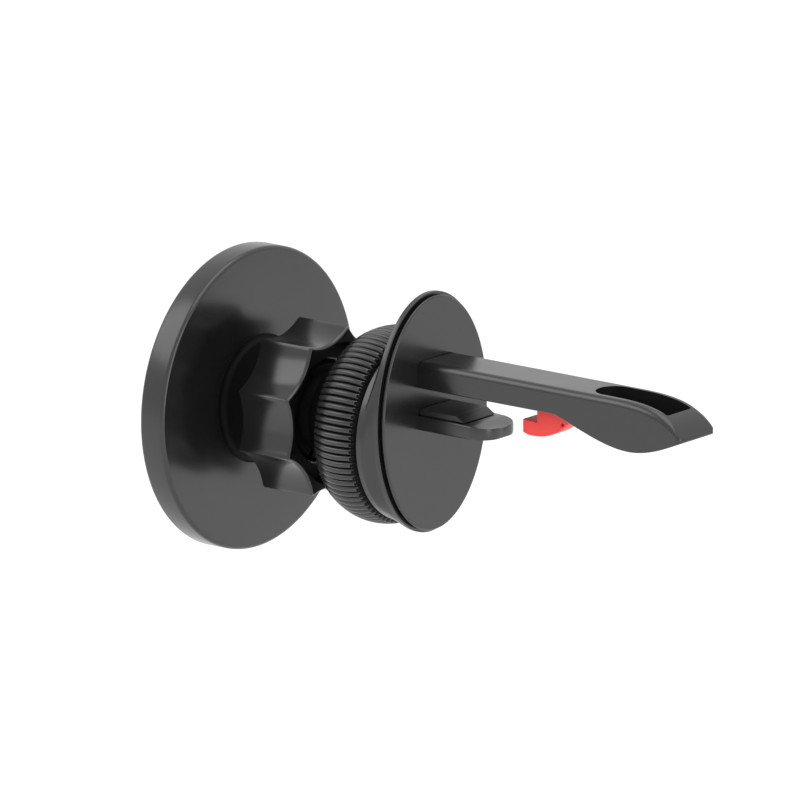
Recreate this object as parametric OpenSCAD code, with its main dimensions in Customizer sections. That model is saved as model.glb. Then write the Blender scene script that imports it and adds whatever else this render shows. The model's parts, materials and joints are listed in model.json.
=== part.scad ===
// Air-vent phone mount: a round magnetic head on a ball joint with a star lock nut,
// and a hook clip whose arm is drawn in by a knurled ring.
// +X is the ring's axis and points into the vent, +Z is up, the head is at -X.
// The origin is on that axis, at the front face of the oval plate.

/* [Layout along the axis] */
// Depth from the plate's front face to the ring's front edge
ring_setback = 5.4; // [5.2:0.1:6]
// Length of the knurled ring
ring_len = 10.5; // [10:0.1:12]
// Gap between the ring and the star nut
nut_gap = 6.2; // [6:0.1:8]
// Length of the star nut
nut_len = 11.6; // [11:0.1:13]
// Length of the neck between the star nut and the head
neck_len = 7.1; // [6.6:0.1:9]
// Thickness of the head over its soft face
head_t = 5.7; // [5.5:0.1:7]

/* [Head] */
// Radius of the round head
head_r = 28; // [27:0.5:32]
// Rounding of the head's back edge
head_edge = 1.1; // [0.6:0.1:1.4]
// Radius of the waisted neck behind the head
neck_r = 10.7; // [10.2:0.1:11]
// Thickness of the head shell's floor
shell_floor = 1.6; // [1.4:0.1:1.8]
// Number of magnets in the ring
magnet_count = 18; // [12:1:24]

/* [Ball joint] */
// Radius of the ball
ball_r = 8.5; // [8.3:0.1:8.6]
// Radius of the ball's neck
stud_r = 5; // [4.5:0.1:5.2]
// Running clearance on the ball
ball_play = 0.06; // [0.04:0.01:0.09]
// Radius of the threaded part of the socket
socket_r = 11.8; // [11.6:0.1:11.9]
// Width of the slots between the socket's fingers
finger_slot = 1; // [0.8:0.1:1.4]

/* [Star nut] */
// Radius over the nut's tips
nut_r = 16; // [15.8:0.1:16.4]
// Radius at the bottom of the nut's flutes
nut_floor_r = 13.8; // [13.7:0.1:14.2]
// Number of tips
nut_tips = 9; // [7:1:10]
// Radius of the nut's open mouth
nut_mouth_r = 13.1; // [12.8:0.1:13.2]
// Angle of the first flute from the top, at rest
nut_clock = 10.7; // [0:0.1:39.9]

/* [Knurled ring] */
// Largest radius over the ridges
ring_r = 18.2; // [18:0.1:18.6]
// Radius of the arc that crowns the ring lengthwise
ring_crown = 9.5; // [9:0.1:11]
// Number of ridges
ridges = 84; // [60:1:96]
// Height of a ridge
ridge_h = 0.55; // [0.4:0.05:0.7]

/* [Plate and hub] */
// Width of the oval plate
plate_w = 31.4; // [30:0.2:32]
// Height of the oval plate
plate_h = 44.6; // [43:0.2:46]
// Height of the oval's middle above the axis
plate_rise = 3.6; // [3:0.1:4.2]
// Thickness of the plate
plate_t = 2.2; // [2:0.1:2.6]
// Bevel around the plate's front edge
plate_bevel = 0.9; // [0.5:0.1:1.2]
// Radius of the hub against the ring
hub_r = 17; // [16.5:0.1:17.4]

/* [Arm] */
// Width of the arm
arm_w = 10.6; // [10:0.1:10.8]
// Underside of the arm above the axis
arm_low = 9.2; // [9:0.1:9.4]
// Top of the arm above the axis
arm_top = 14.1; // [13.9:0.1:14.2]
// Reach of the arm from the plate's face
arm_reach = 59.5; // [58.9:0.1:61]

/* [Tongue] */
// Reach of the tongue from the plate's face
tongue_reach = 15.5; // [14:0.1:17]
// Width of the tongue
tongue_w = 11; // [10:0.2:11.4]
// Underside of the tongue above the axis
tongue_low = 1.5; // [1.3:0.1:1.7]
// Top of the tongue above the axis
tongue_top = 4.05; // [3.9:0.05:4.2]
// Top of the raised pad above the axis
pad_top = 5.25; // [5:0.05:5.4]

/* [Hidden] */

black = [0.09, 0.09, 0.095];
soft_black = [0.06, 0.06, 0.06];
claw_red = [0.9, 0.16, 0.14];
steel = [0.72, 0.73, 0.75];
white_pom = [0.86, 0.86, 0.83];

fit = 0.05;     // gap between pieces of one body
run = 0.08;     // radial gap of a running fit
far = 100;      // longer than anything here

// Stations along X, from the plate back to the head
x_ring1 = -ring_setback;
x_ring0 = x_ring1 - ring_len;
x_nut1 = x_ring0 - nut_gap;
x_nut0 = x_nut1 - nut_len;
x_back = x_nut0 - neck_len;
x_face = x_back - head_t;
x_ball = x_nut1 - 7.4;

// Hub tube, ring bore and rear cap
hub_band = 1.3;
flare_inset = 0.8;
x_hub = x_ring1 + 0.2;
tube_r = 12.6;
tube_in_r = 10.6;
cap_r = 14;
cap_t = 0.9;
x_tube = x_ring0 + cap_t;
core_r = 14.4;
lip_r = 15.4;
x_core1 = x_ring1 - 1.2;
crown_back = 4.3;
washer_t = 0.3;
dome_r = 10.4;
x_dome = x_ring0 - 1.3;
x_dome_face = x_ring0 - 6.1;
x_stud_step = x_ring0 - 1.6;
spigot_r = 3;

// Screws: the ball screw, the small cap and socket screws, and the shoe screws
screw_r = 1.5;
screw_head_r = 3.6;
screw_head_h = 1.8;
screw_hex_r = 1.3;
small_r = 0.65;
small_clear_r = 0.85;
small_head_r = 1.25;
small_sink_r = 1.3;
small_head_h = 0.45;
slot_w = 0.3;
slot_depth = 0.25;
cap_screw_ring = 11.6;
cap_screw_angles = [60, 180, 300];
socket_screw_ring = 13.2;
socket_screw_angles = [0, 90, 180, 270];
shoe_screw_x = -6.8;
shoe_screw_y = 2;
shoe_hole_r = 0.8;
shoe_head_r = 1.2;
shoe_sink = 0.7;

// Arm tail and the threaded shoe
tail_w = 7;
tail_top = 11.4;
x_arm_root = -3;
x_tail = -8.3;
shoe_len = 4;
shoe_low = 7;
shoe_lip = 3.1;
slide_gap = 0.15;
thread_pitch = 1.2;
thread_w = 0.6;
thread_deep = 0.7;

// Head stack, from the soft face inwards
pad_t = 0.8;
tape_t = 0.2;
cover_t = 1;
rim_w = 1.2;
pocket_r = head_r - rim_w;
x_tape = x_face + pad_t;
x_cover = x_tape + tape_t;
x_carrier = x_cover + cover_t;
x_floor = x_back - shell_floor;
iron_t = 0.4;
groove_out = pocket_r - 0.9;
groove_in = groove_out - 3.8;
carrier_wall = 1.2;
bore_r = 4;
x_groove = x_floor - 0.3;
flange_r = 14.8;
flange_t = 1.8;
x_flange = x_floor - flange_t;
magnet_gap = 0.3;

// Socket, liners and nut, measured from the ball's centre
liner_t = 0.92;
liner_in = ball_r + ball_play + 0.02;
liner_out = liner_in + liner_t;
seat_r = liner_out + ball_play;
finger_tip = 4;
finger_tip_r = 8.8;
cone_start = -0.2;
wedge_start = 0.7;
neck_fillet = socket_r - neck_r;
waist_end = 0.4;
seat_end = 2.5;
web_x = 3.2;
web_t = 1;
web_r = 9.8;

// ---- helpers -------------------------------------------------------------------

// Round bar along X
module xbar(x0, x1, r, fn = 96)
    translate([x0, 0, 0]) rotate([0, 90, 0]) cylinder(h = x1 - x0, r = r, $fn = fn);

// Tube along X
module xtube(x0, x1, r_out, r_in)
    difference() {
        xbar(x0, x1, r_out);
        xbar(x0 - 1, x1 + 1, r_in);
    }

// Turns a profile drawn as [radius, x] about the X axis
module turned() rotate([0, 90, 0]) rotate_extrude($fn = 128) children();

// Extrudes a profile drawn as [x, z] symmetrically about y = 0
module across(width)
    rotate([90, 0, 0]) linear_extrude(height = width, center = true) children();

// Block from its two corners
module block(low, high) translate(low) cube(high - low);

// Copies children around the X axis; angle 0 is +Z
module around_x(angles) for (a = angles) rotate([a, 0, 0]) children();

// Pan head screw along +X: the head's seat is at x, the shank runs to x + length
module x_screw(x, length, r, head_r, head_h)
    union() {
        xbar(x - head_h, x, head_r, 32);
        xbar(x - 0.01, x + length, r, 32);
    }

// Slot across the head of an X screw, cut from x to a depth
module x_slot(x, depth)
    block([x - 1, -small_sink_r, -slot_w / 2], [x + depth, small_sink_r, slot_w / 2]);

// Rings of screw places around the X axis
module cap_places() around_x(cap_screw_angles) translate([0, 0, cap_screw_ring]) children();
module socket_places() around_x(socket_screw_angles) translate([0, 0, socket_screw_ring]) children();
module shoe_places() for (side = [-1, 1]) translate([shoe_screw_x, side * shoe_screw_y, 0]) children();

function oval(grow, count = 72) =
    [for (i = [0:count - 1])
        [-(plate_rise + (plate_h / 2 + grow) * sin(360 * i / count)),
         (plate_w / 2 + grow) * cos(360 * i / count)]];

// Slice of the oval, thin along X
module oval_slice(x, grow, t)
    translate([x, 0, 0]) rotate([0, 90, 0]) linear_extrude(height = t) polygon(oval(grow));

// ---- clip body -------------------------------------------------------------------

tongue_corner = 4;
tongue_drop = 1.1;
tongue_slope = 5.2;
pad_w = 9.4;
pad_reach = 10.05;
pad_slope = 1.95;

module tongue_outline()
    union() {
        translate([-1, -tongue_w / 2]) square([tongue_reach + 1 - tongue_corner, tongue_w]);
        translate([0, tongue_corner - tongue_w / 2]) square([tongue_reach, tongue_w - 2 * tongue_corner]);
        for (side = [-1, 1])
            translate([tongue_reach - tongue_corner, side * (tongue_w / 2 - tongue_corner)])
                circle(r = tongue_corner, $fn = 64);
    }

// The tongue: a flat finger whose top falls away towards its rounded tip
module tongue_solid()
    intersection() {
        translate([0, 0, tongue_low - 1])
            linear_extrude(height = tongue_top - tongue_low + 2) tongue_outline();
        across(tongue_w + 2)
            polygon([[-1, tongue_low], [tongue_reach + 1, tongue_low],
                     [tongue_reach + 1, tongue_top - tongue_drop],
                     [tongue_reach - tongue_slope, tongue_top], [-1, tongue_top]]);
    }

module base_plate() color(black)
    difference() {
        union() {
            hull() {
                oval_slice(-plate_t, 0, plate_t - plate_bevel);
                oval_slice(-0.01, -plate_bevel, 0.01);
            }
            hull() {
                xbar(x_hub + hub_band - 0.02, x_hub + hub_band, hub_r, 72);
                oval_slice(-plate_t, -flare_inset, 0.02);
            }
            xbar(x_hub, x_hub + hub_band, hub_r);
            xbar(x_tube, x_hub + 0.01, tube_r);
            tongue_solid();
        }
        // hollow of the tube
        xbar(x_tube - 1, -plate_t, tube_in_r);
        // guide for the arm through the plate
        block([x_hub - 1, -arm_w / 2 - slide_gap, arm_low - slide_gap],
              [1, arm_w / 2 + slide_gap, arm_top + slide_gap]);
        // slot for the shoe and the tail along the tube
        block([x_tube - 1, -tail_w / 2 - slide_gap, shoe_low - slide_gap],
              [-plate_t, tail_w / 2 + slide_gap, arm_top + slide_gap]);
        // pilot holes for the cap screws
        cap_places() xbar(x_tube - 1, x_tube + 4, small_r, 32);
    }

module tongue_pad() color(soft_black)
    across(pad_w)
        polygon([[0, tongue_top], [pad_reach, tongue_top], [pad_reach - pad_slope, pad_top], [0, pad_top]]);

// Domed cap that keeps the ring on the tube and carries the ball
module rear_cap() color(black)
    difference() {
        union() {
            xbar(x_ring0, x_tube, cap_r);
            intersection() {
                translate([x_dome, 0, 0]) sphere(r = dome_r, $fn = 96);
                xbar(x_dome_face, x_tube, dome_r + 1);
            }
        }
        xbar(x_dome_face - 1, x_stud_step, stud_r + fit);
        xbar(x_stud_step - 1, x_tube + 1, spigot_r + fit);
        cap_places() {
            xbar(x_ring0 - 1, x_tube + 1, small_clear_r, 32);
            xbar(x_ring0 - 1, x_ring0 + small_head_h + fit, small_sink_r, 32);
        }
    }

module cap_screws() color(steel)
    cap_places() difference() {
        x_screw(x_ring0 + small_head_h + fit, 4, small_r, small_head_r, small_head_h);
        x_slot(x_ring0, slot_depth);
    }

module ball_stud() color(black)
    difference() {
        union() {
            translate([x_ball, 0, 0]) sphere(r = ball_r, $fn = 96);
            xbar(x_ball, x_stud_step, stud_r);
            xbar(x_stud_step - 0.01, x_tube, spigot_r);
        }
        xbar(x_ball + 2, x_tube + 1, screw_r);
    }

module ball_screw() color(steel)
    difference() {
        union() {
            xbar(x_ball + 2.5, x_tube + 0.01, screw_r, 48);
            xbar(x_tube, x_tube + screw_head_h, screw_head_r, 48);
        }
        translate([x_tube + 0.8, 0, 0]) rotate([0, 90, 0]) cylinder(h = 2, r = screw_hex_r, $fn = 6);
    }

module thrust_washer() color(white_pom)
    xtube(x_tube + fit, x_tube + fit + washer_t, cap_r, tube_r + 0.15);

// ---- knurled ring -----------------------------------------------------------------

// Crowned outline of the ring, lowered by drop
module ring_profile(drop)
    intersection() {
        translate([ring_r - ring_crown, x_ring1 - crown_back]) circle(r = ring_crown - drop, $fn = 128);
        translate([tube_in_r, x_ring0]) square([ring_r, ring_len]);
    }

// Toothed disc whose teeth stand far above their root; widths are shares of the pitch
tooth_root_r = 14.8;
tooth_foot = 0.34;
tooth_crest = 0.13;
function tooth_outline() =
    [for (i = [0:ridges - 1], k = [0:3])
        let (a = 360 / ridges * (i + [-tooth_foot, -tooth_crest, tooth_crest, tooth_foot][k]),
             r = k == 0 || k == 3 ? tooth_root_r : ring_r + 0.6)
        [r * cos(a), r * sin(a)]];

module knurled_ring() color(soft_black)
    difference() {
        union() {
            turned() ring_profile(ridge_h);
            intersection() {
                turned() ring_profile(0);
                translate([x_ring0, 0, 0]) rotate([0, 90, 0])
                    linear_extrude(height = ring_len) polygon(tooth_outline());
            }
        }
        xbar(x_ring0 - 1, x_ring1 + 1, core_r);
        xbar(x_core1, x_ring1 + 1, lip_r);
    }

// Threaded core: its bore runs on the hub tube
module drive_nut() color(white_pom)
    xtube(x_tube + 2 * fit + washer_t, x_core1, core_r - 0.02, tube_r + run);

// ---- arm ----------------------------------------------------------------------------

// Side view of the bar and its drooping nose, as [x, z]
nose_start = [31, arm_low];
nose_tip = [arm_reach, arm_low - 0.5];
module arm_side()
    polygon(concat(
        [[x_arm_root, arm_low], nose_start],
        [for (t = [0.1:0.1:1]) nose_under(t)],
        [nose_tip],
        [for (t = [0:0.125:1]) nose_top(t)],
        [[x_arm_root, arm_top]]));

// Cubic curve through four control points
function cubic(p, t) =
    pow(1 - t, 3) * p[0] + 3 * t * pow(1 - t, 2) * p[1] + 3 * t * t * (1 - t) * p[2] + pow(t, 3) * p[3];

// Underside: down a long ramp to the belly of the nose, then up to the tip
belly = [47.6, 5.15];
ramp_part = 0.55;
function nose_under(t) =
    t < ramp_part
        ? cubic([nose_start, [35.5, 8.1], [42.5, 5.15], belly], t / ramp_part)
        : cubic([belly, [51.5, 5.15], [54.6, 6.2], nose_tip], (t - ramp_part) / (1 - ramp_part));

// Top of the nose, from the tip back to the flat of the bar
function nose_top(t) =
    cubic([[arm_reach, arm_low + 0.1], [arm_reach - 1.6, 12.2], [arm_reach - 5, arm_top], [47, arm_top]], t);

tip_corner = 2.5;
module arm_plan()
    union() {
        translate([x_arm_root, -arm_w / 2]) square([arm_reach - x_arm_root - tip_corner, arm_w]);
        translate([x_arm_root, tip_corner - arm_w / 2])
            square([arm_reach - x_arm_root, arm_w - 2 * tip_corner]);
        for (side = [-1, 1])
            translate([arm_reach - tip_corner, side * (arm_w / 2 - tip_corner)])
                circle(r = tip_corner, $fn = 48);
    }

// Open pocket in the top of the nose, round at its inner end
pocket_w = 7.1;
pocket_x0 = 37.5;
pocket_x1 = 55.6;
pocket_z = 9.4;
module nose_pocket()
    translate([0, 0, pocket_z]) linear_extrude(height = 8) union() {
        translate([pocket_x0 + pocket_w / 2, 0]) circle(r = pocket_w / 2, $fn = 64);
        translate([pocket_x0 + pocket_w / 2, -pocket_w / 2])
            square([pocket_x1 - pocket_x0 - pocket_w / 2, pocket_w]);
    }

claw_w = 4;
tenon_x0 = 25.2;
tenon_x1 = 30.6;
tenon_top = 12.2;
pin_x = 27.9;
pin_z = 10.9;
pin_r = 0.9;
pin_skin = 1.8;

module hook_arm() color(black)
    difference() {
        union() {
            intersection() {
                across(arm_w) arm_side();
                linear_extrude(height = 30) arm_plan();
            }
            block([x_tail, -tail_w / 2, arm_low], [x_arm_root + 0.01, tail_w / 2, tail_top]);
        }
        nose_pocket();
        // mortise and cross hole for the claw
        block([tenon_x0 - fit, -claw_w / 2 - fit, 0],
              [tenon_x1 + fit, claw_w / 2 + fit, tenon_top + fit]);
        translate([pin_x, pin_skin - arm_w / 2, pin_z]) rotate([-90, 0, 0])
            cylinder(h = arm_w, r = pin_r, $fn = 32);
        shoe_places() {
            cylinder(h = 20, r = shoe_hole_r, $fn = 32);
            translate([0, 0, tail_top - shoe_sink]) cylinder(h = 5, r = shoe_head_r + fit, $fn = 32);
        }
    }

// Threaded shoe that the ring's thread drives, screwed under the arm's tail
module thread_shoe() color(white_pom)
    difference() {
        intersection() {
            union() {
                block([x_tail - shoe_len, -tail_w / 2, shoe_low], [x_tail, tail_w / 2, tube_r]);
                block([x_tail - 0.01, -tail_w / 2, shoe_low], [x_tail + shoe_lip, tail_w / 2, arm_low]);
            }
            xbar(x_tail - shoe_len - 1, x_tail + shoe_lip + 1, tube_r - fit);
        }
        for (i = [0:2])
            translate([x_tail - shoe_len + 0.55 + i * thread_pitch, 0, 0])
                xtube(0, thread_w, far, tube_r - thread_deep);
        shoe_places() cylinder(h = arm_low + 1, r = small_r, $fn = 32);
    }

module shoe_screws() color(steel)
    shoe_places() difference() {
        union() {
            translate([0, 0, shoe_low + 0.2])
                cylinder(h = tail_top - shoe_sink + 0.1 - shoe_low - 0.2, r = small_r, $fn = 32);
            translate([0, 0, tail_top - shoe_sink])
                cylinder(h = shoe_sink - 0.1, r = shoe_head_r, $fn = 32);
        }
        block([-2, -slot_w / 2, tail_top - 0.1 - slot_depth], [2, slot_w / 2, tail_top + 1]);
    }

// Hooked claw: a lip under a blade mouth that opens towards the plate
module hook_claw() color(claw_red)
    difference() {
        union() {
            across(claw_w)
                polygon([[21.4, 6.3], [24.6, 6.1], [24.6, arm_low], [31.2, arm_low], [33, 8.4],
                         [31.9, 6.9], [30.4, 5.5], [28.5, 4.25], [25.5, 3.45], [22.7, 3.4], [21.4, 3.75]]);
            block([tenon_x0, -claw_w / 2, arm_low - 0.01], [tenon_x1, claw_w / 2, tenon_top]);
        }
        translate([pin_x, 0, pin_z]) rotate([90, 0, 0])
            cylinder(h = 10, r = pin_r, center = true, $fn = 32);
    }

module claw_pin() color(steel)
    translate([pin_x, pin_skin + fit - arm_w / 2, pin_z]) rotate([-90, 0, 0])
        cylinder(h = arm_w - pin_skin - 2 * fit, r = pin_r, $fn = 32);

// ---- ball liners -----------------------------------------------------------------

module liner(low, high)
    translate([x_ball, 0, 0])
        intersection() {
            difference() {
                sphere(r = liner_out, $fn = 96);
                sphere(r = liner_in, $fn = 96);
            }
            xbar(low, high, liner_out + 1);
        }

cup_edge = -5.6;
ring_edge = -1.4;
module friction_cup() color(soft_black) liner(-liner_out - 1, cup_edge);

module friction_ring() color(white_pom) liner(ring_edge, seat_end - 2 * fit);

// ---- head -------------------------------------------------------------------------

front_edge = 0.8;
rim_recess = 0.2;
module head_profile()
    union() {
        translate([0, x_face + rim_recess + front_edge])
            square([head_r, head_t - rim_recess - front_edge - head_edge]);
        translate([0, x_face + rim_recess]) square([head_r - front_edge, head_t - rim_recess - head_edge]);
        translate([0, x_back - head_edge - 0.01]) square([head_r - head_edge, head_edge + 0.01]);
        translate([head_r - head_edge, x_back - head_edge]) circle(r = head_edge, $fn = 48);
        translate([head_r - front_edge, x_face + rim_recess + front_edge]) circle(r = front_edge, $fn = 48);
    }

module head_shell() color(black)
    difference() {
        turned() head_profile();
        xbar(x_face - 1, x_floor, pocket_r);
        xbar(x_floor - 1, x_back + 1, socket_r + fit);
        socket_places() xbar(x_floor - 1, x_floor + 1.3, small_r, 32);
    }

// Outline of the socket: flange, plug through the shell, waisted neck, barrel and cone
module socket_profile()
    union() {
        polygon([[0, x_flange], [flange_r, x_flange], [flange_r, x_floor], [socket_r, x_floor],
                 [socket_r, x_back], [neck_r, x_back], [neck_r, x_nut0 - waist_end],
                 [socket_r, x_nut0 - waist_end + neck_fillet], [socket_r, x_ball + cone_start],
                 [finger_tip_r, x_ball + finger_tip], [0, x_ball + finger_tip]]);
        difference() {
            translate([neck_r - 0.01, x_back - 0.01]) square([neck_fillet + 0.01, neck_fillet + 0.01]);
            translate([socket_r, x_back + neck_fillet]) circle(r = neck_fillet, $fn = 64);
        }
    }

// Slotted socket: six sprung fingers around the ball, opened and closed by the nut
module ball_socket() color(black)
    difference() {
        turned() socket_profile();
        translate([x_ball, 0, 0]) sphere(r = ball_r + ball_play, $fn = 96);
        translate([x_ball, 0, 0]) intersection() {
            sphere(r = seat_r, $fn = 96);
            xbar(-seat_r - 1, seat_end, seat_r + 1);
        }
        xbar(x_flange - 1, x_ball, bore_r);
        for (a = [0:60:120]) rotate([a, 0, 0])
            block([x_ball - 1, -far, -finger_slot / 2], [x_ball + 9, far, finger_slot / 2]);
        socket_places() {
            xbar(x_flange - 1, x_floor + 1, small_clear_r, 32);
            xbar(x_flange - 1, x_flange + small_head_h + fit, small_sink_r, 32);
        }
    }

module socket_screws() color(steel)
    socket_places() difference() {
        x_screw(x_flange + small_head_h + fit, flange_t + 0.6, small_r, small_head_r, small_head_h);
        x_slot(x_flange, slot_depth);
    }

module magnet_carrier() color(soft_black)
    difference() {
        xtube(x_carrier, x_floor, pocket_r - fit, groove_in - carrier_wall);
        xtube(x_carrier - 1, x_groove, groove_out, groove_in);
    }

module back_iron() color(steel)
    xtube(x_groove - iron_t, x_groove, groove_out - fit, groove_in + fit);

// Separate arc magnets side by side in a circle
module ring_magnets() color(steel)
    difference() {
        xtube(x_carrier + fit, x_groove - iron_t, groove_out - 2 * fit, groove_in + 2 * fit);
        for (i = [0:magnet_count - 1]) rotate([i * 360 / magnet_count, 0, 0])
            block([x_carrier - 1, -magnet_gap / 2, 0], [x_floor, magnet_gap / 2, far]);
    }

module head_cover() color(black) xbar(x_cover, x_carrier, pocket_r - fit);

module pad_tape() color(white_pom) xbar(x_tape, x_cover, pocket_r - 0.8);

module face_pad() color(soft_black) xbar(x_face, x_tape, pocket_r - 0.6);

// ---- lock nut --------------------------------------------------------------------

// Wedge ring that the nut pushes over the socket's fingers
module compression_ring() color(white_pom)
    translate([x_ball, 0, 0]) turned()
        polygon([[cone_r(wedge_start) + run, wedge_start], [socket_r - 0.02, wedge_start],
                 [socket_r - 0.02, web_x - fit], [cone_r(web_x - fit) + run, web_x - fit]]);

// Radius of the fingers' cone at a distance from the ball's centre
function cone_r(x) =
    socket_r + (finger_tip_r - socket_r) * (x - cone_start) / (finger_tip - cone_start);

// Radius and distance of the cylinders that scoop the flutes, which would meet
// just outside the nut and so leave a narrow land on each tip
nut_edge = 0.8;
tip_half = 180 / nut_tips;
meet_r = nut_r + 0.22;
flute_sag = meet_r * cos(tip_half) - nut_floor_r;
flute_r = (pow(meet_r * sin(tip_half), 2) + pow(flute_sag, 2)) / (2 * flute_sag);

module star_nut() color(black)
    difference() {
        turned() polygon([[web_r, x_ball + web_x], [socket_r + run, x_ball + web_x],
                          [socket_r + run, x_nut0], [nut_r, x_nut0], [nut_r, x_nut1 - nut_edge],
                          [nut_r - nut_edge, x_nut1], [nut_mouth_r, x_nut1],
                          [nut_mouth_r, x_ball + web_x + web_t], [web_r, x_ball + web_x + web_t]]);
        around_x([for (i = [0:nut_tips - 1]) nut_clock + i * 360 / nut_tips])
            translate([0, 0, nut_floor_r + flute_r]) xbar(x_nut0 - 1, x_nut1 + 1, flute_r, 128);
    }

base_plate();
tongue_pad();
rear_cap();
cap_screws();
ball_stud();
ball_screw();
thrust_washer();
knurled_ring();
drive_nut();
hook_arm();
thread_shoe();
shoe_screws();
hook_claw();
claw_pin();
friction_cup();
friction_ring();
head_shell();
ball_socket();
socket_screws();
magnet_carrier();
back_iron();
ring_magnets();
head_cover();
pad_tape();
face_pad();
compression_ring();
star_nut();
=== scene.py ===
import json
import math

import bmesh
import bpy
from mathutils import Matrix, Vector


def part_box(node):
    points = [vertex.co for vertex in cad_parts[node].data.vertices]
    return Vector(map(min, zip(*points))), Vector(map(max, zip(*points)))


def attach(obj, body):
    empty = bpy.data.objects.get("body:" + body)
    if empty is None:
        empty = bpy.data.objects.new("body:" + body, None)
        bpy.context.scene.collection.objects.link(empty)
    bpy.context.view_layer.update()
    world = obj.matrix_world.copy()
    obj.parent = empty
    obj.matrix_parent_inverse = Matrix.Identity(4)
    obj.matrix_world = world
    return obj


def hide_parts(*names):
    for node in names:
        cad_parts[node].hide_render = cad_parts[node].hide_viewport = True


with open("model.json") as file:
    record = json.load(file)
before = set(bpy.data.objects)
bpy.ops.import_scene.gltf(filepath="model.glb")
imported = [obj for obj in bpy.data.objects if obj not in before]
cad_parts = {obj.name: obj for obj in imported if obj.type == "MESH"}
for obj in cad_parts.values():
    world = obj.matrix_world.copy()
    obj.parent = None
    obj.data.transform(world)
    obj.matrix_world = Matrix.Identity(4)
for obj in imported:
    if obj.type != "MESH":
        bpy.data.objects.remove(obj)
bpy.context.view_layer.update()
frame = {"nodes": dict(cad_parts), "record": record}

MM = 0.001

# ---- places and sizes taken from the frame, in metres ---------------------------------

HEAD_LO, HEAD_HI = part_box("head_shell")
FACE_LO, FACE_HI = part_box("face_pad")
NUT_LO, NUT_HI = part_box("star_nut")
RING_LO, RING_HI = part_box("knurled_ring")
PLATE_LO, PLATE_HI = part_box("base_plate")
ARM_LO, ARM_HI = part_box("hook_arm")
CLAW_LO, CLAW_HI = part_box("hook_claw")
PAD_LO, PAD_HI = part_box("tongue_pad")

ARM_UNDER = 9.2 * MM        # flat underside of the bar
ARM_ROOT = -3 * MM          # where the bar ends behind the plate's face


# ---- mesh helpers -----------------------------------------------------------------------

def arc(centre, radius, start, end, steps):
    """Points on an arc in a plane, angles in degrees."""
    points = []
    for i in range(steps + 1):
        a = math.radians(start + (end - start) * i / steps)
        points.append((centre[0] + radius * math.cos(a), centre[1] + radius * math.sin(a)))
    return points


def rounded(corners, steps=5):
    """A closed outline from (u, v, radius) corners, each corner turned into an arc."""
    points = []
    count = len(corners)
    for i, (u, v, radius) in enumerate(corners):
        here = Vector((u, v))
        before = Vector(corners[i - 1][:2]) - here
        after = Vector(corners[(i + 1) % count][:2]) - here
        if radius <= 0:
            points.append((u, v))
            continue
        a, b = before.normalized(), after.normalized()
        half = a.angle(b) / 2
        reach = radius / math.tan(half)
        centre = here + (a + b).normalized() * (radius / math.sin(half))
        first = here + a * reach - centre
        last = here + b * reach - centre
        turn = first.angle_signed(last)
        for k in range(steps + 1):
            angle = -turn * k / steps
            c, s = math.cos(angle), math.sin(angle)
            points.append((centre.x + first.x * c - first.y * s, centre.y + first.x * s + first.y * c))
    return points


def quarter(steps):
    """(1 - cos, 1 - sin) along a quarter circle, for rounding an edge."""
    turns = [math.pi / 2 * k / steps for k in range(steps + 1)]
    return [(1 - math.cos(a), 1 - math.sin(a)) for a in turns]


def on_circle(x, radius, angle):
    """Point at an angle from straight up, turned about the X axis."""
    return Vector((x, radius * math.sin(angle), radius * math.cos(angle)))


def full_turn(count):
    return [2 * math.pi * i / count for i in range(count)]


def bridge(bm, one, two):
    """Quads between two closed rings of vertices."""
    count = len(one)
    for i in range(count):
        j = (i + 1) % count
        bm.faces.new((one[i], one[j], two[j], two[i]))


def loft(rings, ends="caps"):
    """A closed mesh through rings of points; ends is caps, fans or loop."""
    bm = bmesh.new()
    made = [[bm.verts.new(p) for p in ring] for ring in rings]
    for one, two in zip(made, made[1:]):
        bridge(bm, one, two)
    if ends == "loop":
        bridge(bm, made[-1], made[0])
    for ring in (made[0], made[-1]) if ends != "loop" else ():
        if ends == "caps":
            bm.faces.new(ring)
        else:
            middle = bm.verts.new(sum((v.co for v in ring), Vector()) / len(ring))
            for i, v in enumerate(ring):
                bm.faces.new((v, ring[(i + 1) % len(ring)], middle))
    bmesh.ops.recalc_face_normals(bm, faces=bm.faces)
    return bm


def turned(profile, steps=160):
    """A closed profile of (radius, x) points turned about the X axis."""
    angles = full_turn(steps)
    return loft([[on_circle(x, radius, a) for a in angles] for radius, x in profile], "loop")


def extruded(outline, low, high, axis="y"):
    """A straight prism of an outline; axis y takes (x, z) points and z takes (x, y) points."""
    if axis == "y":
        rings = [[Vector((u, t, v)) for u, v in outline] for t in (low, high)]
    else:
        rings = [[Vector((u, v, t)) for u, v in outline] for t in (low, high)]
    return loft(rings)


def make(name, bm, body, replaced, material, sharp):
    """Turns a bmesh into a smooth shaded piece that rides on a body."""
    mesh = bpy.data.meshes.new(name)
    bm.to_mesh(mesh)
    bm.free()
    mesh.shade_smooth()
    mesh.set_sharp_from_angle(angle=math.radians(sharp))
    piece = bpy.data.objects.new(name, mesh)
    bpy.context.scene.collection.objects.link(piece)
    mesh.materials.append(material)
    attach(piece, body)
    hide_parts(replaced)
    return piece


def apply_modifiers(piece):
    """Bakes the piece's modifiers into its mesh."""
    graph = bpy.context.evaluated_depsgraph_get()
    graph.update()
    new = bpy.data.meshes.new_from_object(piece.evaluated_get(graph))
    piece.modifiers.clear()
    old = piece.data
    piece.data = new
    bpy.data.meshes.remove(old)


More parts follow.
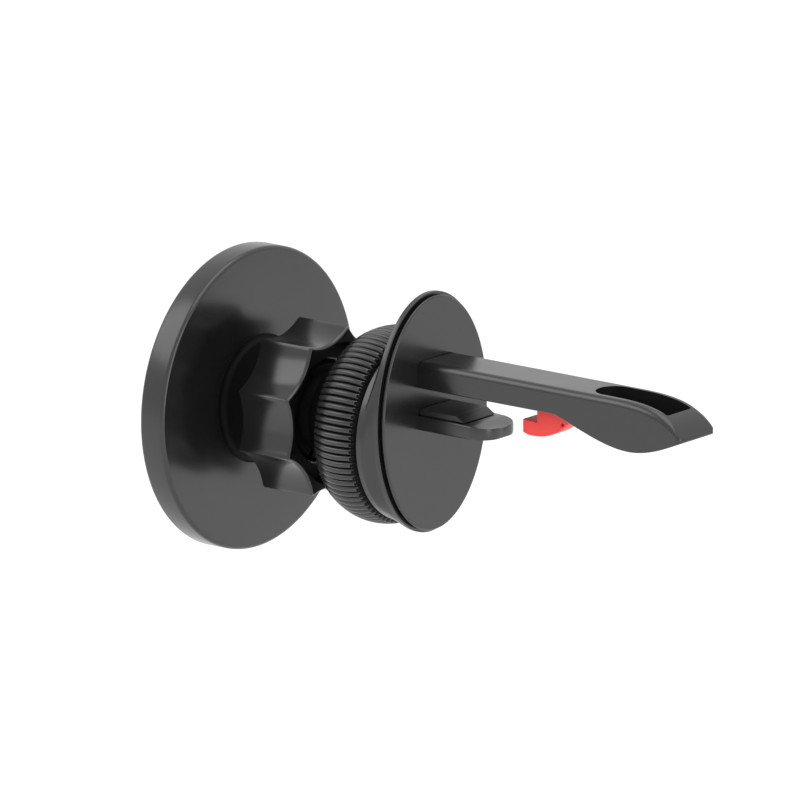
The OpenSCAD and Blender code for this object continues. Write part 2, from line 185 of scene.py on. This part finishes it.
def cut(piece, cutters):
    """Cuts closed meshes out of a piece."""
    made = []
    for i, bm in enumerate(cutters):
        mesh = bpy.data.meshes.new(f"cutter_{i}")
        bm.to_mesh(mesh)
        bm.free()
        cutter = bpy.data.objects.new(f"cutter_{i}", mesh)
        bpy.context.scene.collection.objects.link(cutter)
        made.append(cutter)
        step = piece.modifiers.new(f"cut_{i}", "BOOLEAN")
        step.operation = "DIFFERENCE"
        step.solver = "EXACT"
        step.use_self = True
        step.object = cutter
    apply_modifiers(piece)
    for cutter in made:
        mesh = cutter.data
        bpy.data.objects.remove(cutter)
        bpy.data.meshes.remove(mesh)


def soften(piece, width, segments, angle):
    """Rounds the edges sharper than an angle in degrees and evens out the shading."""
    still_sharp = 50
    bevel = piece.modifiers.new("edge", "BEVEL")
    bevel.width = width
    bevel.segments = segments
    bevel.limit_method = "ANGLE"
    bevel.angle_limit = math.radians(angle)
    bevel.miter_outer = "MITER_ARC"
    even = piece.modifiers.new("even", "WEIGHTED_NORMAL")
    even.keep_sharp = True
    apply_modifiers(piece)
    piece.data.shade_smooth()
    piece.data.set_sharp_from_angle(angle=math.radians(still_sharp))


def paint_shade(piece, chosen):
    """Paints shade: gives the dull painted-shade black to the faces that the function chosen picks."""
    piece.data.materials.append(PAINTED_SHADE_BLACK)
    for face in piece.data.polygons:
        if chosen(face):
            face.material_index = 1


# ---- materials -----------------------------------------------------------------------

def nodes_of(name):
    """A new node material: itself, its tree, its shader and object coordinates."""
    material = bpy.data.materials.new(name)
    material.use_nodes = True
    tree = material.node_tree
    shader = tree.nodes["Principled BSDF"]
    place = tree.nodes.new("ShaderNodeTexCoord")
    return material, tree, shader, place.outputs["Object"]


def noise(tree, where, scale, detail, roughness=0.5):
    node = tree.nodes.new("ShaderNodeTexNoise")
    node.inputs["Scale"].default_value = scale
    node.inputs["Detail"].default_value = detail
    node.inputs["Roughness"].default_value = roughness
    tree.links.new(where, node.inputs["Vector"])
    return node.outputs["Fac"]


def spread(tree, value, low, high, from_low=0.3, from_high=0.7):
    """Maps a noise value onto a range."""
    node = tree.nodes.new("ShaderNodeMapRange")
    node.inputs["From Min"].default_value = from_low
    node.inputs["From Max"].default_value = from_high
    node.inputs["To Min"].default_value = low
    node.inputs["To Max"].default_value = high
    tree.links.new(value, node.inputs["Value"])
    return node.outputs["Result"]


def two_tone(tree, value, dark, light):
    """Mixes two colours by a value."""
    node = tree.nodes.new("ShaderNodeMix")
    node.data_type = "RGBA"
    node.inputs["A"].default_value = (*dark, 1)
    node.inputs["B"].default_value = (*light, 1)
    tree.links.new(value, node.inputs["Factor"])
    return node.outputs["Result"]


def bump(tree, shader, height, distance):
    """Lets a noise value raise the surface by a distance."""
    node = tree.nodes.new("ShaderNodeBump")
    node.inputs["Distance"].default_value = distance
    node.inputs["Strength"].default_value = 1
    tree.links.new(height, node.inputs["Height"])
    tree.links.new(node.outputs["Normal"], shader.inputs["Normal"])


def moulded(name, dark, light, rough, grain=5200, depth=0.006 * MM, specular=0.7):
    """Injection-moulded plastic: a fine spark-eroded grain, faint flow marks and uneven sheen."""
    grain_share = 0.35
    material, tree, shader, where = nodes_of(name)
    flow = noise(tree, where, 90, 2)
    fine = noise(tree, where, grain, 2, 0.6)
    tree.links.new(two_tone(tree, spread(tree, flow, 0, 1), dark, light), shader.inputs["Base Color"])
    mixed = tree.nodes.new("ShaderNodeMath")
    mixed.operation = "MULTIPLY_ADD"
    tree.links.new(fine, mixed.inputs[0])
    mixed.inputs[1].default_value = grain_share
    tree.links.new(flow, mixed.inputs[2])
    tree.links.new(spread(tree, mixed.outputs[0], *rough, 0.45, 0.9), shader.inputs["Roughness"])
    shader.inputs["Specular IOR Level"].default_value = specular
    bump(tree, shader, fine, depth)
    return material


def silicone(name, dark, light):
    """Soft matt silicone: a very fine even grain and a faint sheen."""
    material, tree, shader, where = nodes_of(name)
    fine = noise(tree, where, 7000, 3, 0.6)
    cloud = noise(tree, where, 140, 3)
    tree.links.new(two_tone(tree, spread(tree, cloud, 0, 1), dark, light), shader.inputs["Base Color"])
    tree.links.new(spread(tree, fine, 0.4, 0.5), shader.inputs["Roughness"])
    shader.inputs["Sheen Weight"].default_value = 0.03
    shader.inputs["Sheen Roughness"].default_value = 0.5
    bump(tree, shader, fine, 0.01 * MM)
    return material


def plated(name, dark, light, rough=(0.22, 0.38), scratch=(1, 1, 1)):
    """Plated metal with fine scratches drawn out along one direction."""
    material, tree, shader, where = nodes_of(name)
    stretch = tree.nodes.new("ShaderNodeVectorMath")
    stretch.operation = "MULTIPLY"
    stretch.inputs[1].default_value = scratch
    tree.links.new(where, stretch.inputs[0])
    lines = noise(tree, stretch.outputs[0], 2600, 4, 0.6)
    cloud = noise(tree, where, 300, 2)
    tree.links.new(two_tone(tree, spread(tree, cloud, 0, 1), dark, light), shader.inputs["Base Color"])
    tree.links.new(spread(tree, lines, *rough), shader.inputs["Roughness"])
    shader.inputs["Metallic"].default_value = 1
    bump(tree, shader, lines, 0.002 * MM)
    return material


BLACK = moulded("black_plastic", (0.006, 0.0062, 0.0066), (0.008, 0.0082, 0.0087), rough=(0.2, 0.27))
RING_BLACK = moulded("ring_plastic", (0.006, 0.0062, 0.0066), (0.008, 0.0082, 0.0087), rough=(0.18, 0.25))
COVER_BLACK = moulded("cover_plastic", (0.012, 0.0123, 0.013), (0.016, 0.0163, 0.017), rough=(0.5, 0.6))
NUT_BLACK = moulded("nut_plastic", (0.004, 0.0041, 0.0044), (0.006, 0.0062, 0.0066), rough=(0.15, 0.21))
RED = moulded("claw_red", (0.74, 0.04, 0.036), (0.8, 0.05, 0.044), rough=(0.4, 0.5), grain=6500,
              depth=0.003 * MM, specular=0.4)
WHITE = moulded("acetal", (0.76, 0.76, 0.72), (0.82, 0.82, 0.79), rough=(0.32, 0.42), depth=0.003 * MM)
TAPE = moulded("foam_tape", (0.72, 0.72, 0.69), (0.8, 0.8, 0.77), rough=(0.7, 0.85), grain=3000,
               depth=0.02 * MM)
SILICONE = silicone("silicone", (0.008, 0.0083, 0.0086), (0.011, 0.0113, 0.0117))
ZINC = plated("zinc_screw", (0.55, 0.56, 0.58), (0.66, 0.67, 0.69), scratch=(1, 6, 6))
IRON = plated("nickel_sheet", (0.42, 0.42, 0.43), (0.52, 0.52, 0.53), rough=(0.3, 0.45), scratch=(6, 1, 1))
MAGNET = plated("nickel_magnet", (0.6, 0.6, 0.61), (0.7, 0.7, 0.71), rough=(0.12, 0.25))

# Painted shade: a dull, darker, barely reflecting black that stands in for shadow on hollows, grooves and end
# bevels, and on the black pieces that are mostly in shadow
PAINTED_SHADE_BLACK = moulded("painted_shade_plastic", (0.003, 0.003, 0.0032), (0.004, 0.004, 0.0043), rough=(0.5, 0.6),
                      grain=3000, depth=0.01 * MM, specular=0.08)
# Painted shade: the rear cap, socket and ball stud get this dull black in place of their shadow
SHADED_NODES = ("rear_cap", "ball_socket", "ball_stud")

SLOT_MATERIALS = {
    "black_plastic": BLACK, "ring_plastic": RING_BLACK, "soft_pad": SILICONE, "cover_plastic": COVER_BLACK,
    "claw_red": RED, "pom_white": WHITE, "screw_steel": ZINC, "iron": IRON, "magnet": MAGNET, "tape": TAPE,
}


def dress_frame():
    """Gives every carried-over CAD node the procedural material of its slot, except the rear cap, socket and
    ball stud, which get the dull black of painted shade.
    """
    slots = {row["node"]: row["material_slot"] for row in frame["record"]["subparts"]}
    for name, node in frame["nodes"].items():
        node.data.materials.clear()
        material = PAINTED_SHADE_BLACK if name in SHADED_NODES else SLOT_MATERIALS[slots[name]]
        node.data.materials.append(material)
        node.data.shade_smooth()
        node.data.set_sharp_from_angle(angle=math.radians(30))


# ---- head ----------------------------------------------------------------------------

def head_shell():
    """Round shell: a flat back with a hole for the socket, a rounded rim and an open front."""
    rim, back_edge = 0.8 * MM, 0.8 * MM
    radius = HEAD_HI.z
    pocket = FACE_HI.z + 0.6 * MM
    bore = 11.85 * MM
    front, back = HEAD_LO.x, HEAD_HI.x
    floor = back - 1.6 * MM
    profile = rounded([
        (pocket, front, 0.15 * MM), (radius, front, rim), (radius, back, back_edge),
        (bore, back, 0.05 * MM), (bore, floor, 0), (pocket, floor, 0)], 8)
    make("head_shell_body", turned(profile, 192), "head", "head_shell", BLACK, 28)


def face_pad():
    """Silicone face: soft edge, a shallow ring groove and a faint dish in the middle."""
    radius, front, back = FACE_HI.z, FACE_LO.x, FACE_HI.x
    groove, deep = 20.6 * MM, 0.25 * MM
    brink, bottom = 0.7 * MM, 0.45 * MM
    axis = 0.0001 * MM
    profile = [(axis, front + 0.12 * MM)]
    profile += [(groove * 0.55, front + 0.1 * MM), (groove - 1.4 * MM, front + 0.02 * MM)]
    profile += [(groove - brink, front), (groove - bottom, front + deep)]
    profile += [(groove + bottom, front + deep), (groove + brink, front)]
    edge = 0.45 * MM
    profile += arc((radius - edge, front + edge), edge, -90, 0, 6)
    profile += [(radius, back), (axis, back)]
    bm = turned(profile, 160)
    bmesh.ops.remove_doubles(bm, verts=bm.verts, dist=0.001 * MM)
    make("face_pad_silicone", bm, "head", "face_pad", SILICONE, 30)


# ---- lock nut ------------------------------------------------------------------------

TIPS = 9
NUT_CLOCK = math.radians(10.7)


def flute_radius(angle, tip_r, floor_r):
    """Radius of the scalloped outline at an angle from the middle of a flute."""
    half = math.pi / TIPS
    sag = tip_r * math.cos(half) - floor_r
    scoop = ((tip_r * math.sin(half)) ** 2 + sag ** 2) / (2 * sag)
    far = floor_r + scoop
    local = (angle + half) % (2 * half) - half
    return far * math.cos(local) - math.sqrt(max(scoop ** 2 - (far * math.sin(local)) ** 2, 0))


def star_nut():
    """Nine flutes scooped from a round nut, a rolled front edge and an open stepped mouth."""
    x0, x1 = NUT_LO.x, NUT_HI.x
    land, meet, floor = 16.0 * MM, 16.22 * MM, 13.8 * MM
    back, front = 0.3 * MM, 0.7 * MM
    mouth, web, thread = 13.1 * MM, 9.8 * MM, 11.88 * MM
    mouth_x, web_x = x1 - 3.2 * MM, x1 - 4.2 * MM
    mouth_edge, lead_in, lead_r = 0.15 * MM, 0.3 * MM, 0.25 * MM
    angles = full_turn(TIPS * 32)
    outline = [min(flute_radius(a, meet, floor), land) for a in angles]

    def fluted(x, inset):
        return [on_circle(x, r - inset, -(a + NUT_CLOCK)) for a, r in zip(angles, outline)]

    def circle(x, radius):
        return [on_circle(x, radius, -(a + NUT_CLOCK)) for a in angles]

    rings = [fluted(x0 + back * s, back * c) for c, s in reversed(quarter(3))]
    rings += [fluted(x1 - front * s, front * c) for c, s in quarter(5)]
    rings += [circle(x1, mouth + mouth_edge), circle(x1 - mouth_edge, mouth)]
    rings += [circle(mouth_x, mouth), circle(mouth_x, web), circle(web_x, web), circle(web_x, thread)]
    rings += [circle(x0 + lead_in, thread), circle(x0, thread + lead_r)]
    piece = make("star_nut_body", loft(rings, "loop"), "nut", "star_nut", NUT_BLACK, 30)

    def inner(face):
        c = face.center
        in_bore = math.hypot(c.y, c.z) < mouth + 0.3 * MM
        in_front = face.normal.x > 0.97 and c.x > x1 - 0.1 * MM
        return in_bore or in_front

    # Painted shade: the nut's bore and the front face of its mouth get the dull black in place of their
    # shadow
    paint_shade(piece, inner)


# ---- knurled ring ------------------------------------------------------------------------

RIDGES = 84


def knurled_ring():
    """Crowned grip ring: rounded ridges along it, their ends cut to points by a bevel."""
    x0, x1 = RING_LO.x, RING_HI.x
    top_r, crown = 18.2 * MM, 9.5 * MM
    height, bevel = 0.66 * MM, 0.75 * MM
    middle = x1 - 4.3 * MM
    bore_r, recess_r, recess = 14.42 * MM, 15.4 * MM, 1.2 * MM
    rise, past_groove = 2.8, 0.12
    across = [-0.5, -0.45, -0.36, -0.22, -0.07, 0.07, 0.22, 0.36, 0.45]
    along, crowding = 30, 0.55
    bulges = [1 - abs(2 * s) ** rise for s in across] * RIDGES
    angles = [2 * math.pi * (ridge + s) / RIDGES for ridge in range(RIDGES) for s in across]

    def crest(x):
        return top_r - crown + math.sqrt(crown ** 2 - (x - middle) ** 2)

    rings = []
    for i in range(along + 1):
        t = i / along
        eased = 0.5 - 0.5 * math.cos(math.pi * t)
        x = x0 + (x1 - x0) * (crowding * eased + (1 - crowding) * t)
        core = crest(x) - height
        room = min(x - x0, x1 - x) / bevel
        lid = core + height * (room - past_groove)
        rings.append([on_circle(x, min(core + height * b, lid), a) for b, a in zip(bulges, angles)])
    inside = [(x1, recess_r + 0.05 * MM), (x1 - recess, recess_r), (x1 - recess, bore_r), (x0, bore_r)]
    rings += [[on_circle(x, r, a) for a in angles] for x, r in inside]
    piece = make("knurled_ring_grip", loft(rings, "loop"), "ring", "knurled_ring", RING_BLACK, 30)

    def groove_or_bevel(face):
        c = face.center
        turn = math.atan2(c.y, c.z) * RIDGES / (2 * math.pi)
        in_groove = abs(turn - round(turn)) > 0.45 and math.hypot(c.y, c.z) > bore_r + 1 * MM
        on_bevel = min(c.x - x0, x1 - c.x) < bevel and abs(face.normal.x) > 0.5
        return in_groove or on_bevel

    # Painted shade: the grooves and end bevels get the dull black, drawing the thin dark lines that their
    # shadow would make
    paint_shade(piece, groove_or_bevel)


# ---- plate, hub and tongue -------------------------------------------------------------------

AROUND = full_turn(144)
PLATE_T = 2 * MM
HUB_X = RING_HI.x + 0.2 * MM


def oval(x, inset):
    """The plate's outline, drawn in by an inset."""
    half_w, half_h = 15.7 * MM - inset, (PLATE_HI.z - PLATE_LO.z) / 2 - inset
    rise = (PLATE_HI.z + PLATE_LO.z) / 2
    return [Vector((x, half_w * math.sin(a), rise + half_h * math.cos(a))) for a in AROUND]


def round_ring(x, radius):
    return [on_circle(x, radius, a) for a in AROUND]


def mixed(one, two, t, x):
    """A ring part of the way from one ring to another, set at x."""
    return [Vector((x, p.y + (q.y - p.y) * t, p.z + (q.z - p.z) * t)) for p, q in zip(one, two)]


def plate_front():
    """Rings from the front face round its lip, into the seam and over the edge of the band."""
    lip, seam, step, soft = 0.34 * MM, 0.75 * MM, 0.55 * MM, 0.2 * MM
    flat = 5 * MM
    deep = step + 0.75 * MM
    band_x = -lip - seam - 0.03 * MM
    rings = [oval(0, step + flat)]
    rings += [oval(-lip * c, step + lip * s) for c, s in quarter(5)]
    rings += [oval(-lip - 0.05 * MM, step + 0.02 * MM), oval(-lip - 0.08 * MM, deep)]
    rings += [oval(-lip - seam, deep), oval(band_x, soft)]
    rings += [oval(band_x - soft * c, soft * s) for c, s in quarter(3)]
    return rings


def plate_hub():
    """Rings from the plate's back edge over the flare and the hub and round the tube."""
    hub_r, band, edge = 17 * MM, 1.3 * MM, 0.25 * MM
    tube_r, tube_in, tube_x = 12.6 * MM, 10.6 * MM, PLATE_LO.x
    flare, hollow = 12, 1.12
    rim, hub = oval(-PLATE_T, 0), round_ring(0, hub_r)
    rings = [rim]
    for k in range(1, flare):
        t = k / flare
        rings.append(mixed(rim, hub, t ** hollow, -PLATE_T + (HUB_X + band + PLATE_T) * t))
    rings += [round_ring(HUB_X + band, hub_r), round_ring(HUB_X + edge, hub_r)]
    rings += [round_ring(HUB_X, hub_r - edge), round_ring(HUB_X, tube_r)]
    rings += [round_ring(tube_x, tube_r), round_ring(tube_x, tube_in), round_ring(-PLATE_T, tube_in)]
    return rings


def arm_opening():
    """Cutter for the opening that the arm slides through."""
    play, width = 0.04 * MM, 5.3 * MM
    low_r, high_r = 0.5 * MM, 1.2 * MM
    side, low, high = width + play, ARM_UNDER - play, ARM_HI.z + play
    guide = rounded([(-side, low, low_r), (side, low, low_r), (side, high, high_r), (-side, high, high_r)], 4)
    reach = [HUB_X - 1 * MM, 1 * MM]
    return loft([[Vector((x, y, z)) for y, z in guide] for x in reach])


def tail_trough():
    """Cutter for the slot in the tube that the arm's tail and shoe run in."""
    half, low, high = 3.65 * MM, 6.85 * MM, 14 * MM
    slot = [(-half, low), (half, low), (half, high), (-half, high)]
    reach = [PLATE_LO.x - 1 * MM, -PLATE_T - 0.01 * MM]
    return loft([[Vector((x, y, z)) for y, z in slot] for x in reach])


def base_plate():
    """Oval plate with a seam behind its lip, flaring back into the round hub and its tube."""
    body = loft(plate_front() + plate_hub(), "fans")
    piece = make("base_plate_body", body, "clip", "base_plate", BLACK, 30)
    cut(piece, [arm_opening(), tail_trough()])
    piece.data.shade_smooth()
    piece.data.set_sharp_from_angle(angle=math.radians(35))
    even = piece.modifiers.new("even", "WEIGHTED_NORMAL")
    even.keep_sharp = True


def tongue_rows():
    """Half widths of the tongue along its length, the tip drawn as two quarter circles."""
    tip, half, corner = PLATE_HI.x, 5.5 * MM, 4 * MM
    rows = [(-1.5 * MM, half), (0.0, half), (4 * MM, half), (8 * MM, half)]
    for k in range(13):
        a = math.pi / 2 * k / 12
        rows.append((tip - corner + corner * math.sin(a), half - corner + corner * math.cos(a)))
    return rows


def tongue():
    """Flat finger with a rounded tip; its top dips gently towards the tip."""
    tip = PLATE_HI.x
    low, high = 1.5 * MM, PAD_LO.z
    columns = [-1, -0.96, -0.85, -0.55, 0, 0.55, 0.85, 0.96, 1]
    soft, slope, droop, dip = 0.4 * MM, 5.2 * MM, 0.5 * MM, 0.25 * MM
    bm = bmesh.new()
    top, bottom = [], []
    for x, half in tongue_rows():
        drop = max(0.0, (x - (tip - slope)) / slope)
        upper, lower = [], []
        for c in columns:
            y = c * half
            dish = dip * drop * (1 - c * c)
            lip = soft if abs(c) == 1 else 0
            upper.append(bm.verts.new((x, y, high - droop * drop - dish - lip)))
            lower.append(bm.verts.new((x, y, low + lip)))
        top.append(upper)
        bottom.append(lower)
    rows = len(top)
    for i in range(rows - 1):
        for j in range(len(columns) - 1):
            bm.faces.new((top[i][j], top[i + 1][j], top[i + 1][j + 1], top[i][j + 1]))
            bm.faces.new((bottom[i][j], bottom[i][j + 1], bottom[i + 1][j + 1], bottom[i + 1][j]))
        for j in (0, -1):
            bm.faces.new((top[i][j], bottom[i][j], bottom[i + 1][j], top[i + 1][j]))
    for i in (0, -1):
        for j in range(len(columns) - 1):
            bm.faces.new((top[i][j], top[i][j + 1], bottom[i][j + 1], bottom[i][j]))
    bmesh.ops.recalc_face_normals(bm, faces=bm.faces)
    piece = make("tongue_body", bm, "clip", "base_plate", BLACK, 40)
    soften(piece, 0.22 * MM, 3, 40)


def tongue_pad():
    """Raised grip pad with a sloped end."""
    slope = 1.95 * MM
    side = [(PAD_LO.x, PAD_LO.z), (PAD_HI.x, PAD_LO.z), (PAD_HI.x - slope, PAD_HI.z), (PAD_LO.x, PAD_HI.z)]
    piece = make("tongue_pad_grip", extruded(side, PAD_LO.y, PAD_HI.y), "clip", "tongue_pad", SILICONE, 30)
    soften(piece, 0.25 * MM, 3, 25)


# ---- arm --------------------------------------------------------------------------------

def cubic(p, t):
    """Point on the Bezier curve of four control points."""
    weights = ((1 - t) ** 3, 3 * t * (1 - t) ** 2, 3 * t * t * (1 - t), t ** 3)
    return (sum(w * q[0] for w, q in zip(weights, p)), sum(w * q[1] for w, q in zip(weights, p)))


def arm_side():
    """Side outline of the bar and its drooping nose as (x, z, edge rounding)."""
    tip, high, low = ARM_HI.x, ARM_HI.z, ARM_UNDER
    heel, heel_r = low - 1.1 * MM, 0.3 * MM
    belly = (47.6 * MM, ARM_LO.z - 0.35 * MM)
    big, small, tip_top, tip_under = 1.3 * MM, 0.3 * MM, 0.25 * MM, 0.2 * MM
    thinning = 0.6
    top = [(44 * MM, high), (tip - 5 * MM, high), (tip - 2.4 * MM, 12.1 * MM), (tip, low - 0.6 * MM)]
    rise = [(tip - 0.5 * MM, heel - 0.1 * MM), (55 * MM, 6.2 * MM), (51.5 * MM, belly[1]), belly]
    ramp = [belly, (42 * MM, belly[1]), (35.5 * MM, 7.8 * MM), (31 * MM, low)]
    points = [(x, high, big) for x in (ARM_ROOT, 5 * MM, 20 * MM, 34 * MM)]
    for k in range(19):
        t = k / 18
        thin = max(0.0, t - thinning) / (1 - thinning)
        points.append((*cubic(top, t), big - (big - tip_top) * thin))
    points += [(x, z, tip_under) for x, z in arc((tip - heel_r, heel + heel_r), heel_r, 0, -70, 4)]
    for k in range(1, 15):
        t = k / 14
        points.append((*cubic(rise, t), tip_under + (small - tip_under) * t))
    points += [(*cubic(ramp, k / 16), small) for k in range(1, 17)]
    points += [(x, low, small) for x in (22 * MM, 10 * MM, ARM_ROOT)]
    return points


def inward(points):
    """Unit normals that point into a closed (x, z) outline given clockwise."""
    count = len(points)
    normals = []
    for i in range(count):
        a, b = Vector(points[i - 1][:2]), Vector(points[(i + 1) % count][:2])
        run = (b - a).normalized()
        normals.append(Vector((run.y, -run.x)))
    return normals


def arm_bar():
    """The outline carried across the arm, its long edges rounded more above than below."""
    side = arm_side()
    normals = inward(side)
    half, middle = ARM_HI.y, 11.5 * MM
    steps = 7

    def section(sign, phi):
        """The outline at one angle of its rounded edges; the root's corners move only up or down."""
        ring = []
        for (x, z, edge), n in zip(side, normals):
            inset = edge * (1 - math.cos(phi))
            if x == ARM_ROOT:
                n = Vector((0, 1 if z < middle else -1))
            y = sign * (half - edge * (1 - math.sin(phi)))
            ring.append(Vector((x + n.x * inset, y, z + n.y * inset)))
        return ring

    near = [section(-1, math.pi / 2 * (1 - k / steps)) for k in range(steps + 1)]
    far = [section(1, math.pi / 2 * k / steps) for k in range(steps + 1)]
    return loft(near + far)


POCKET_X0, POCKET_X1 = 37.3 * MM, 55.3 * MM
POCKET_HALF = 3.55 * MM
POCKET_FLOOR = 9.4 * MM
ABOVE_ARM = 17 * MM


def nose_pocket():
    """Cutter for the open pocket, round at its inner end."""
    half, corner = POCKET_HALF, 0.4 * MM
    outline = arc((POCKET_X0 + half, 0), half, 90, 270, 24)
    outline += arc((POCKET_X1 - corner, -half + corner), corner, -90, 0, 3)
    outline += arc((POCKET_X1 - corner, half - corner), corner, 0, 90, 3)
    return extruded(outline, POCKET_FLOOR, ABOVE_ARM, "z")


def claw_mortise():
    """Cutter for the slot that holds the claw's tenon."""
    x0, x1, top = CLAW_LO.x + 3.75 * MM, CLAW_LO.x + 9.25 * MM, CLAW_HI.z + 0.05 * MM
    half = 2.05 * MM
    return extruded([(x0, 0), (x1, 0), (x1, top), (x0, top)], -half, half)


def nose_corners():
    """Cutters that round the two upright corners of the tip."""
    tip, side, corner, past = ARM_HI.x, ARM_HI.y, 1.2 * MM, 1 * MM
    cutters = []
    for sign in (-1, 1):
        plan = [(tip + past, sign * (side + past)), (tip - corner, sign * (side + past))]
        plan += [(x, sign * y) for x, y in arc((tip - corner, side - corner), corner, 90, 0, 8)]
        plan.append((tip + past, sign * (side - corner)))
        cutters.append(extruded(plan[::sign], 0, ABOVE_ARM, "z"))
    return cutters


def in_pocket(face):
    """Whether a face of the arm is part of the pocket's floor or walls."""
    c = face.center
    edge, clear = 0.05 * MM, 0.2 * MM
    over = POCKET_X0 - edge < c.x < POCKET_X1 + edge and abs(c.y) < POCKET_HALF + edge
    over = over and c.z > POCKET_FLOOR - 0.1 * MM
    inner = POCKET_X0 + clear < c.x < POCKET_X1 - clear and abs(c.y) < POCKET_HALF - 0.02 * MM
    floor = inner and c.z < 12.4 * MM
    wall = abs(face.normal.z) < 0.3 and c.z < ARM_HI.z - 0.3 * MM
    return over and (floor or wall)


def hook_arm():
    """Arm with the open pocket in its nose, the mortise of the claw and the tail in the hub."""
    piece = make("hook_arm_body", arm_bar(), "arm", "hook_arm", BLACK, 30)
    cut(piece, [nose_pocket(), claw_mortise()] + nose_corners())
    soften(piece, 0.16 * MM, 2, 42)
    # Painted shade: the pocket's floor and walls get the dull black in place of their shadow
    paint_shade(piece, in_pocket)
    low, high, end, half = ARM_UNDER, 11.4 * MM, ARM_ROOT + 0.1 * MM, 3.5 * MM
    tail = extruded([(ARM_LO.x, low), (end, low), (end, high), (ARM_LO.x, high)], -half, half)
    rest = make("hook_arm_tail", tail, "arm", "hook_arm", BLACK, 30)
    soften(rest, 0.15 * MM, 2, 30)


def hook_claw():
    """Red claw: lip, blade mouth and a rounded belly that runs up to the arm."""
    x0, heel_x, low = CLAW_LO.x, 24.6 * MM, ARM_UNDER
    half = 2 * MM
    belly = [(33.0 * MM, 8.4 * MM), (30.5 * MM, 5.2 * MM), (27.5 * MM, 3.1 * MM), (22.6 * MM, 3.45 * MM)]
    outline = [(x0, 6.3 * MM), (heel_x, 6.1 * MM), (heel_x, low), (31.2 * MM, low)]
    outline += [cubic(belly, k / 14) for k in range(15)]
    outline += [(x0, 3.8 * MM)]
    piece = make("hook_claw_body", extruded(outline, -half, half), "arm", "hook_claw", RED, 25)
    dot = arc((30.4 * MM, 6.5 * MM), 0.3 * MM, 0, 350, 16)
    cut(piece, [extruded(dot, -half - 0.5 * MM, -half + 0.8 * MM)])
    soften(piece, 0.18 * MM, 3, 28)
    tenon_x0, tenon_x1, tenon_low, tenon_half = 25.2 * MM, 30.6 * MM, low - 0.3 * MM, 1.95 * MM
    tenon = [(tenon_x0, tenon_low), (tenon_x1, tenon_low), (tenon_x1, CLAW_HI.z), (tenon_x0, CLAW_HI.z)]
    peg = make("hook_claw_tenon", extruded(tenon, -tenon_half, tenon_half), "arm", "hook_claw", RED, 25)
    soften(peg, 0.15 * MM, 2, 30)


# ---- stage, light and camera ------------------------------------------------------------

AZIMUTH, ELEVATION = 38.3, 14.2
VIEW_WIDTH = 144.4043 * MM
LENS = 900
SENSOR = 36
AIM_RIGHT, AIM_UP = -6.5 * MM, 5.81 * MM


def camera():
    """Long lens, nearly parallel, from beside and a little above the plate."""
    a, e = math.radians(AZIMUTH), math.radians(ELEVATION)
    back = Vector((math.sin(a) * math.cos(e), -math.cos(a) * math.cos(e), math.sin(e)))
    right = Vector((math.cos(a), math.sin(a), 0))
    up = back.cross(right)
    data = bpy.data.cameras.new("camera")
    data.lens = LENS
    data.sensor_width = SENSOR
    data.clip_start, data.clip_end = 0.01, 20
    eye = bpy.data.objects.new("camera", data)
    bpy.context.scene.collection.objects.link(eye)
    distance = LENS / SENSOR * VIEW_WIDTH
    eye.location = right * AIM_RIGHT + up * AIM_UP + back * distance
    eye.rotation_euler = back.to_track_quat("Z", "Y").to_euler()
    bpy.context.scene.camera = eye


def lamp(name, place, size, power):
    """Soft box that faces the mount and isn't seen by the camera itself."""
    data = bpy.data.lights.new(name, "AREA")
    data.shape = "RECTANGLE"
    data.size, data.size_y = size
    data.energy = power
    light = bpy.data.objects.new(name, data)
    bpy.context.scene.collection.objects.link(light)
    light.location = place
    light.rotation_euler = Vector(place).to_track_quat("Z", "Y").to_euler()
    light.visible_camera = False


def stage():
    """Pale floor well under the mount, even white surroundings and three soft boxes."""
    floor_size, drop = 6, 50 * MM
    bpy.ops.mesh.primitive_plane_add(size=floor_size, location=(0, 0, PLATE_LO.z - drop))
    floor = bpy.context.object
    floor.name = "floor"
    material, tree, shader, where = nodes_of("pale_floor")
    clouds = spread(tree, noise(tree, where, 3, 2), 0, 1)
    tone = two_tone(tree, clouds, (0.93, 0.93, 0.93), (0.95, 0.95, 0.95))
    tree.links.new(tone, shader.inputs["Base Color"])
    shader.inputs["Roughness"].default_value = 0.9
    floor.data.materials.append(material)
    world = bpy.data.worlds.new("studio")
    bpy.context.scene.world = world
    world.use_nodes = True
    surroundings = world.node_tree.nodes["Background"]
    surroundings.inputs["Color"].default_value = (1, 1, 1, 1)
    surroundings.inputs["Strength"].default_value = 1
    bpy.context.scene.view_settings.view_transform = "Standard"
    lamp("key", (-0.4, -0.36, 0.45), (0.5, 0.4), 1.1)
    lamp("top", (0.1, 0.05, 0.5), (0.5, 0.4), 0.9)
    lamp("right", (0.5, -0.1, 0.1), (0.2, 0.4), 0.6)


camera()
stage()
dress_frame()
head_shell()
face_pad()
star_nut()
knurled_ring()
base_plate()
tongue()
tongue_pad()
hook_arm()
hook_claw()
